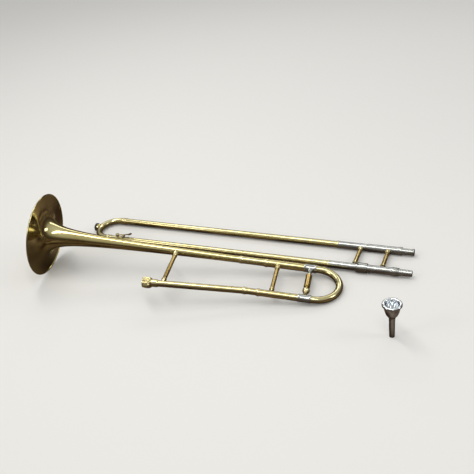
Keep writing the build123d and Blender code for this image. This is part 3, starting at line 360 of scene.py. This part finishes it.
def smooth_shaded(mesh, sharp_angle=35.0):
    """Smooth faces, with edges kept crisp where the surface turns by more than the angle."""
    mesh.shade_smooth()
    mesh.set_sharp_from_angle(angle=math.radians(sharp_angle))


def add_piece(mesh, body, material, replaced):
    """Put a finished mesh into the scene as a piece that rides on a body, in place of CAD pieces."""
    mesh.materials.clear()
    mesh.materials.append(material)
    piece = bpy.data.objects.new(mesh.name, mesh)
    scene.collection.objects.link(piece)
    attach(piece, body)
    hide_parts(*replaced)


bell_brass = polished_metal(
    "bell_brass", (0.70, 0.61, 0.30), (0.56, 0.45, 0.17), 0.09, 0.20, (0.80, 0.70, 0.40),
    bloom=0.5, coat=0.35,
)
bell_tree = bpy.data.node_groups.new("horn of revolution", "GeometryNodeTree")
for name, kind, value in (
    ("Rim Radius", "NodeSocketFloat", 93.65 * MM),
    ("Rim Wire", "NodeSocketFloat", rim_wire_radius),
    ("Reach", "NodeSocketFloat", 3.0 * MM),
    ("Power", "NodeSocketFloat", 0.49),
    ("Length", "NodeSocketFloat", 470.0 * MM),
    ("Sheet", "NodeSocketFloat", 0.6 * MM),
    ("Hoops", "NodeSocketInt", 150),
    ("Staves", "NodeSocketInt", 240),
    ("Metal", "NodeSocketMaterial", bell_brass),
):
    bell_tree.interface.new_socket(name, in_out="INPUT", socket_type=kind).default_value = value
bell_tree.interface.new_socket("Geometry", in_out="OUTPUT", socket_type="NodeSocketGeometry")
given = bell_tree.nodes.new("NodeGroupInput").outputs


def worked_out(tree, operation, first, second=None, third=None):
    """The result of one arithmetic node; each operand is a number or another node's output."""
    node = tree.nodes.new("ShaderNodeMath")
    node.operation = operation
    for socket, operand in zip(node.inputs, (first, second, third)):
        if isinstance(operand, (int, float)):
            socket.default_value = operand
        elif operand is not None:
            tree.links.new(operand, socket)
    return node.outputs["Value"]


on_bell = partial(worked_out, bell_tree)

# The grid's rows run up the outside of the sheet and back down its inside; the last row closes on the
# first. Each row becomes a hoop at its own place along the horn.
row_count = on_bell("MULTIPLY_ADD", given["Hoops"], 2, 3)
grid = bell_tree.nodes.new("GeometryNodeMeshGrid")
bell_tree.links.new(given["Staves"], grid.inputs["Vertices X"])
bell_tree.links.new(row_count, grid.inputs["Vertices Y"])
spot = bell_tree.nodes.new("GeometryNodeInputPosition")
flat = bell_tree.nodes.new("ShaderNodeSeparateXYZ")
bell_tree.links.new(spot.outputs["Position"], flat.inputs["Vector"])
angle = on_bell("MULTIPLY", on_bell("ADD", flat.outputs["X"], 0.5), math.tau)
last_row = on_bell("SUBTRACT", row_count, 1)
row = on_bell("MULTIPLY", on_bell("ADD", flat.outputs["Y"], 0.5), last_row)
row = on_bell("ROUND", row)
climb = on_bell("MINIMUM", on_bell("SUBTRACT", row, 1), on_bell("SUBTRACT", last_row, row))
share = on_bell("MAXIMUM", on_bell("DIVIDE", climb, given["Hoops"]), 0)
share = on_bell("MINIMUM", share, 1)
half_rows = on_bell("MULTIPLY", given["Hoops"], 0.5)
middle_row = on_bell("ADD", half_rows, 1)
on_outside = on_bell("COMPARE", row, middle_row, on_bell("ADD", half_rows, 0.5))
inset = on_bell("MULTIPLY", on_bell("SUBTRACT", 1, on_outside), given["Sheet"])
growth = on_bell("DIVIDE", on_bell("SUBTRACT", given["Length"], given["Rim Wire"]), given["Reach"])
growth = on_bell("ADD", growth, 1)
stretched = on_bell("MULTIPLY", on_bell("POWER", growth, share), given["Reach"])
taper = on_bell("POWER", on_bell("DIVIDE", given["Reach"], stretched), given["Power"])
radius = on_bell("MULTIPLY", taper, given["Rim Radius"])
slope = on_bell("DIVIDE", on_bell("MULTIPLY", radius, given["Power"]), stretched)
steep = on_bell("SQRT", on_bell("MULTIPLY_ADD", slope, slope, 1))
along = on_bell("SUBTRACT", on_bell("ADD", stretched, given["Rim Wire"]), given["Reach"])
pulled_in = on_bell("DIVIDE", on_bell("MULTIPLY", inset, slope), steep)
along = on_bell("SUBTRACT", along, pulled_in)
radius = on_bell("SUBTRACT", radius, on_bell("DIVIDE", inset, steep))
hoop = bell_tree.nodes.new("ShaderNodeCombineXYZ")
bell_tree.links.new(along, hoop.inputs["X"])
bell_tree.links.new(on_bell("MULTIPLY", radius, on_bell("COSINE", angle)), hoop.inputs["Y"])
bell_tree.links.new(on_bell("MULTIPLY", radius, on_bell("SINE", angle)), hoop.inputs["Z"])
bend = bell_tree.nodes.new("GeometryNodeSetPosition")
close = shader_node(bell_tree, "GeometryNodeMergeByDistance", Distance=0.01 * MM)
whole = bell_tree.nodes.new("GeometryNodeRealizeInstances")
clothe = bell_tree.nodes.new("GeometryNodeSetMaterial")
result = bell_tree.nodes.new("NodeGroupOutput")
bell_tree.links.new(grid.outputs["Mesh"], bend.inputs["Geometry"])
bell_tree.links.new(hoop.outputs["Vector"], bend.inputs["Position"])
bell_tree.links.new(bend.outputs["Geometry"], close.inputs["Geometry"])
bell_tree.links.new(close.outputs["Geometry"], whole.inputs["Geometry"])
bell_tree.links.new(whole.outputs["Geometry"], clothe.inputs["Geometry"])
bell_tree.links.new(given["Metal"], clothe.inputs["Material"])
bell_tree.links.new(clothe.outputs["Geometry"], result.inputs["Geometry"])


def grown(tree, name, place, sizes, blank=None):
    """Run a geometry tree, on a blank if it shapes one, and bring back a plain mesh in its place."""
    seed = bpy.data.objects.new(name, blank or bpy.data.meshes.new(name))
    scene.collection.objects.link(seed)
    modifier = seed.modifiers.new(name, "NODES")
    modifier.node_group = tree
    for item in tree.interface.items_tree:
        if item.in_out == "INPUT" and item.name in sizes:
            modifier[item.identifier] = sizes[item.name]
    bpy.context.view_layer.update()
    ready = seed.evaluated_get(bpy.context.evaluated_depsgraph_get())
    mesh = bpy.data.meshes.new_from_object(ready)
    bpy.data.objects.remove(seed)
    mesh.name = name
    mesh.transform(place)
    shape = bmesh.new()
    shape.from_mesh(mesh)
    bmesh.ops.recalc_face_normals(shape, faces=shape.faces)
    shape.to_mesh(mesh)
    shape.free()
    return mesh


bell_mesh = grown(bell_tree, "bell_skin", bell_frame, {"Hoops": 150, "Staves": 241, "Metal": bell_brass})
smooth_shaded(bell_mesh)
add_piece(bell_mesh, "bell_section", bell_brass, ["bell"])
finish_nodes(bell_brass, "bell_rim_wire")

# ---- Bell section tubes and braces ------------------------------------------------------------------
# Drawn brass tube with ferrules and rings turned from thicker stock, soft-soldered together and lacquered.
# The braces are turned posts with flared feet; their brass is given a darker, browner colour than the
# tubes', a painted dark reflection.
tube_brass = polished_metal(
    "tube_brass", (0.72, 0.64, 0.35), (0.62, 0.52, 0.24), 0.12, 0.25, (0.88, 0.78, 0.48), coat=0.45
)
finish_nodes(tube_brass, "bell_link_tube", "bell_outer_leg", "neckpipe", "neck_link_tube", "neck_outer_leg")
# Painted highlight: ferrules, rings, feet and other small brass fittings get a lighter brass than the
# tubes, standing in for the bright glints they catch.
ring_brass_painted_highlight = polished_metal(
    "ring_brass_painted_highlight", (0.86, 0.77, 0.46), (0.76, 0.64, 0.32), 0.1, 0.24, (0.93, 0.86, 0.62), bloom=0.2, coat=0.3
)
finish_nodes(ring_brass_painted_highlight, "bell_stem_ferrule", "neck_ferrule", "outer_leg_rings", "neck_receiver")
# Painted dark reflection: brace brass is darker and browner than tube brass, standing in for the dark
# surroundings the braces reflect.
painted_dark_brace_brass = polished_metal(
    "painted_dark_brace_brass", (0.56, 0.41, 0.14), (0.42, 0.28, 0.08), 0.15, 0.34, (0.86, 0.75, 0.42),
    drift=16.0, bloom=0.7, coat=0.4,
)
finish_nodes(painted_dark_brace_brass, "front_brace_tube", "rear_brace_tube")
finish_nodes(ring_brass_painted_highlight, "front_brace_bell_foot", "front_brace_neck_foot")
finish_nodes(ring_brass_painted_highlight, "rear_brace_bell_foot", "rear_brace_neck_foot")

# ---- Bell lock nut ----------------------------------------------------------------------------------
# A captive brass nut, turned barrel-shaped and milled with lengthwise ridges so that fingers can do it up.
# It turns on the neck receiver, behind the flange, and draws the tenon's thread in.
pattern_tree = bpy.data.node_groups.new("pattern round a turned blank", "GeometryNodeTree")
pattern_tree.interface.new_socket("Blank", in_out="INPUT", socket_type="NodeSocketGeometry")
for name, value in (
    ("Starts", 24.0),
    ("Turns Per Metre", 0.0),
    ("Depth", 0.5 * MM),
    ("Worked From", 0.0),
    ("Worked To", 20.0 * MM),
    ("Run Out", 1.5 * MM),
    ("Outside From", 9.0 * MM),
    ("Crest", 1.0),
):
    socket = pattern_tree.interface.new_socket(name, in_out="INPUT", socket_type="NodeSocketFloat")
    socket.default_value = value
pattern_tree.interface.new_socket("Metal", in_out="INPUT", socket_type="NodeSocketMaterial")
pattern_tree.interface.new_socket("Geometry", in_out="OUTPUT", socket_type="NodeSocketGeometry")
given = pattern_tree.nodes.new("NodeGroupInput").outputs
spot = pattern_tree.nodes.new("GeometryNodeInputPosition")
flat = pattern_tree.nodes.new("ShaderNodeSeparateXYZ")
pattern_tree.links.new(spot.outputs["Position"], flat.inputs["Vector"])
station, side, top = flat.outputs["X"], flat.outputs["Y"], flat.outputs["Z"]
on_blank = partial(worked_out, pattern_tree)
angle = on_blank("ARCTAN2", top, side)
out = on_blank("SQRT", on_blank("MULTIPLY_ADD", side, side, on_blank("MULTIPLY", top, top)))
lead = on_blank("MULTIPLY", on_blank("MULTIPLY", station, given["Turns Per Metre"]), math.tau)
phase = on_blank("MULTIPLY_ADD", angle, given["Starts"], lead)
groove = on_blank("MULTIPLY_ADD", on_blank("COSINE", phase), -0.5, 0.5)
groove = on_blank("POWER", groove, given["Crest"])
entering = on_blank("DIVIDE", on_blank("SUBTRACT", station, given["Worked From"]), given["Run Out"])
leaving = on_blank("DIVIDE", on_blank("SUBTRACT", given["Worked To"], station), given["Run Out"])
worked = on_blank("MINIMUM", on_blank("MINIMUM", entering, leaving), 1)
worked = on_blank("MAXIMUM", worked, 0)
outside = on_blank("GREATER_THAN", out, given["Outside From"])
cut = on_blank("MULTIPLY", on_blank("MULTIPLY", groove, worked), given["Depth"])
cut = on_blank("MULTIPLY", cut, outside)
scale = on_blank("SUBTRACT", 1, on_blank("DIVIDE", cut, out))
moved = pattern_tree.nodes.new("ShaderNodeCombineXYZ")
pattern_tree.links.new(station, moved.inputs["X"])
pattern_tree.links.new(on_blank("MULTIPLY", side, scale), moved.inputs["Y"])
pattern_tree.links.new(on_blank("MULTIPLY", top, scale), moved.inputs["Z"])
bend = pattern_tree.nodes.new("GeometryNodeSetPosition")
whole = pattern_tree.nodes.new("GeometryNodeRealizeInstances")
clothe = pattern_tree.nodes.new("GeometryNodeSetMaterial")
result = pattern_tree.nodes.new("NodeGroupOutput")
pattern_tree.links.new(given["Blank"], bend.inputs["Geometry"])
pattern_tree.links.new(moved.outputs["Vector"], bend.inputs["Position"])
pattern_tree.links.new(bend.outputs["Geometry"], whole.inputs["Geometry"])
pattern_tree.links.new(whole.outputs["Geometry"], clothe.inputs["Geometry"])
pattern_tree.links.new(given["Metal"], clothe.inputs["Material"])
pattern_tree.links.new(clothe.outputs["Geometry"], result.inputs["Geometry"])


def filled_in(outline, longest):
    """The outline in millimetres with points added along it, so that a pattern can be cut into it."""
    points = []
    for first, second in zip(outline, outline[1:] + outline[:1]):
        steps = max(1, math.ceil(math.dist(first, second) / longest))
        for k in range(steps):
            points.append([(a + (b - a) * k / steps) * MM for a, b in zip(first, second)])
    return points


nut_start = Vector(joints["lock_nut_turn"]["pos_m"])
nut_x = Vector(joints["lock_nut_turn"]["axis"]).normalized()
nut_z = Vector((0, 0, 1)) - nut_x * nut_x.z
nut_z.normalize()
nut_axes = Matrix((nut_x, nut_z.cross(nut_x), nut_z)).transposed().to_4x4()
nut_outline = [  # millimetres along the nut and out from its axis: chamber and back wall, then the crown
    (0.0, 10.2), (6.9, 10.2), (6.9, 8.6), (19.9, 8.6), (19.9, 9.7), (18.6, 10.75), (15.5, 11.9),
    (12.0, 12.25), (8.0, 12.2), (4.5, 11.8), (2.0, 11.3), (0.0, 10.65),
]
nut_blank = lathe("lock_nut_blank", filled_in(nut_outline, 0.7), segments=288)
nut_sizes = {
    "Starts": 24.0, "Turns Per Metre": 0.0, "Depth": 0.75 * MM, "Crest": 1.6,
    "Worked From": 1.2 * MM, "Worked To": 17.6 * MM, "Run Out": 1.2 * MM, "Outside From": 10.3 * MM,
    "Metal": tube_brass,
}
nut_place = Matrix.Translation(nut_start) @ nut_axes
nut_mesh = grown(pattern_tree, "lock_nut_ridged", nut_place, nut_sizes, nut_blank)
smooth_shaded(nut_mesh, 40)
add_piece(nut_mesh, "lock_nut", tube_brass, ["bell_lock_nut"])

# ---- Tuning slide -----------------------------------------------------------------------------------
# A brass bow with two nickel-silver inner legs soldered into nickel ferrules, so that unlike metals run on
# each other. A turned brace with a thick barrel, a ball and two slender necks keeps the legs parallel.
nickel = polished_metal(
    "nickel_silver", (0.58, 0.59, 0.57), (0.47, 0.48, 0.46), 0.14, 0.32, (0.80, 0.80, 0.78), bloom=0.12
)
finish_nodes(tube_brass, "tuning_bow")
finish_nodes(nickel, "bell_bow_ferrule", "neck_bow_ferrule", "bell_inner_leg", "neck_inner_leg")
finish_nodes(nickel, "tuning_brace_bell_foot")
finish_nodes(painted_dark_brace_brass, "tuning_brace_barrel")
finish_nodes(ring_brass_painted_highlight, "tuning_brace_ball", "tuning_brace_neck_foot")

# ---- Inner slide ------------------------------------------------------------------------------------
# Two hard-chromed tubes, drawn thin, with nickel-silver cork barrels, a brace, the leadpipe inside one tube
# and the tenon on the other. A screw thread is chased on the collar in front of the tenon.
chrome = polished_metal(
    "chrome", (0.66, 0.68, 0.70), (0.58, 0.60, 0.62), 0.06, 0.15, (0.80, 0.81, 0.82),
    bloom=0.0, scratch=1400.0,
)
finish_nodes(chrome, "tenon_inner_tube", "mouth_inner_tube")
finish_nodes(nickel, "tenon_cork_barrel", "mouth_cork_barrel", "barrel_end_rings", "mouthpiece_receiver")
finish_nodes(nickel, "slide_tenon")
finish_nodes(painted_dark_brace_brass, "inner_brace_tube")
finish_nodes(ring_brass_painted_highlight, "inner_brace_feet")
finish_nodes(tube_brass, "leadpipe")

collar_low, collar_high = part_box("tenon_thread_collar")
collar_middle = (collar_low + collar_high) / 2
collar_length = (collar_high.x - collar_low.x) / MM
thread_pitch = 1.25
collar_outline = [  # millimetres along the collar and out from its axis
    (0.0, 7.5), (collar_length, 7.5), (collar_length, 8.9), (collar_length - 0.6, 9.45),
    (0.5, 9.45), (0.0, 9.2),
]
collar_blank = lathe("thread_blank", filled_in(collar_outline, 0.16), segments=72)
thread_sizes = {
    "Starts": 1.0, "Turns Per Metre": 1000 / thread_pitch, "Depth": 0.6 * MM, "Crest": 0.8,
    "Worked From": 0.4 * MM, "Worked To": collar_length * MM, "Run Out": 0.5 * MM,
    "Outside From": 8.85 * MM, "Metal": nickel,
}
collar_place = Matrix.Translation((collar_low.x, collar_middle.y, collar_middle.z))
thread_mesh = grown(pattern_tree, "tenon_thread", collar_place, thread_sizes, collar_blank)
smooth_shaded(thread_mesh, 50)
add_piece(thread_mesh, "inner_slide", nickel, ["tenon_thread_collar"])

# Cork rings sit in the barrels, and one pad closes the water key: ground cork, pressed, speckled with bark.
cork, tree, shader = new_material("cork")
where = shader_node(tree, "ShaderNodeTexCoord")
grains = shader_node(tree, "ShaderNodeTexVoronoi", Scale=900.0, Randomness=1.0)
pores = shader_node(tree, "ShaderNodeTexNoise", Scale=620.0, Detail=5.0, Roughness=0.7)
shades = shader_node(tree, "ShaderNodeValToRGB")
shades.color_ramp.elements[0].color = (0.20, 0.105, 0.045, 1)
shades.color_ramp.elements[1].color = (0.56, 0.37, 0.20, 1)
shades.color_ramp.elements[0].position = 0.3
shades.color_ramp.elements[1].position = 0.72
speckle = shader_node(tree, "ShaderNodeMix", data_type="RGBA", blend_type="MULTIPLY")
speckle.inputs["Factor"].default_value = 0.35
dry = shader_node(tree, "ShaderNodeMapRange", To_Min=0.72, To_Max=0.95)
pits = shader_node(tree, "ShaderNodeBump", Strength=0.4, Distance=0.0002)
tree.links.new(where.outputs["Object"], grains.inputs["Vector"])
tree.links.new(where.outputs["Object"], pores.inputs["Vector"])
tree.links.new(pores.outputs["Fac"], shades.inputs["Fac"])
tree.links.new(shades.outputs["Color"], speckle.inputs["A"])
tree.links.new(grains.outputs["Color"], speckle.inputs["B"])
tree.links.new(speckle.outputs["Result"], shader.inputs["Base Color"])
tree.links.new(pores.outputs["Fac"], dry.inputs["Value"])
tree.links.new(dry.outputs["Result"], shader.inputs["Roughness"])
tree.links.new(pores.outputs["Fac"], pits.inputs["Height"])
tree.links.new(pits.outputs["Normal"], shader.inputs["Normal"])
finish_nodes(cork, "barrel_corks")

# ---- Slide lock -------------------------------------------------------------------------------------
# A nickel-silver ring that turns on the cork barrel; its slot takes the lug on the outer slide.
finish_nodes(nickel, "slide_lock_ring")

# ---- Outer slide ------------------------------------------------------------------------------------
# Two light brass tubes joined by the crook, with nickel oversleeves where they are held and a rubber bumper
# in a small cup at the foot of the crook.
finish_nodes(tube_brass, "tenon_outer_tube", "mouth_outer_tube", "slide_crook")
finish_nodes(nickel, "tenon_oversleeve", "mouth_oversleeve", "slide_lock_lug")
finish_nodes(ring_brass_painted_highlight, "oversleeve_rings", "crook_ferrules", "outer_brace_feet", "bumper_holder")
finish_nodes(painted_dark_brace_brass, "outer_brace_tube")
rubber, tree, shader = new_material("bumper_rubber")
where = shader_node(tree, "ShaderNodeTexCoord")
bloomed = shader_node(tree, "ShaderNodeTexNoise", Scale=160.0, Detail=5.0, Roughness=0.65)
greys = shader_node(tree, "ShaderNodeValToRGB")
greys.color_ramp.elements[0].color = (0.010, 0.010, 0.011, 1)
greys.color_ramp.elements[1].color = (0.050, 0.048, 0.046, 1)
dull = shader_node(tree, "ShaderNodeMapRange", To_Min=0.45, To_Max=0.75)
skin = shader_node(tree, "ShaderNodeBump", Strength=0.25, Distance=0.0001)
tree.links.new(where.outputs["Object"], bloomed.inputs["Vector"])
tree.links.new(bloomed.outputs["Fac"], greys.inputs["Fac"])
tree.links.new(greys.outputs["Color"], shader.inputs["Base Color"])
tree.links.new(bloomed.outputs["Fac"], dull.inputs["Value"])
tree.links.new(dull.outputs["Result"], shader.inputs["Roughness"])
tree.links.new(bloomed.outputs["Fac"], skin.inputs["Height"])
tree.links.new(skin.outputs["Normal"], shader.inputs["Normal"])
finish_nodes(rubber, "slide_bumper")

# ---- Water key --------------------------------------------------------------------------------------
# A brass lever on a steel pin between two posts; a flat steel spring presses its cork pad onto the spout.
spring_steel = polished_metal(
    "spring_steel", (0.50, 0.51, 0.53), (0.38, 0.39, 0.42), 0.2, 0.4, (0.70, 0.70, 0.72),
    bloom=0.1, scratch=700.0,
)
finish_nodes(ring_brass_painted_highlight, "water_key_spout", "water_key_saddle", "water_key_lever")
finish_nodes(spring_steel, "water_key_pivot", "water_key_spring")
finish_nodes(cork, "water_key_cork")

# ---- Mouthpiece -------------------------------------------------------------------------------------
# Turned from brass bar and silver-plated all over; it stands on its shank, cup upwards.
silver = polished_metal(
    "silver_plate", (0.84, 0.87, 0.90), (0.70, 0.73, 0.76), 0.07, 0.2, (0.93, 0.93, 0.92),
    drift=30.0, bloom=0.06,
)
finish_nodes(silver, "mouthpiece")
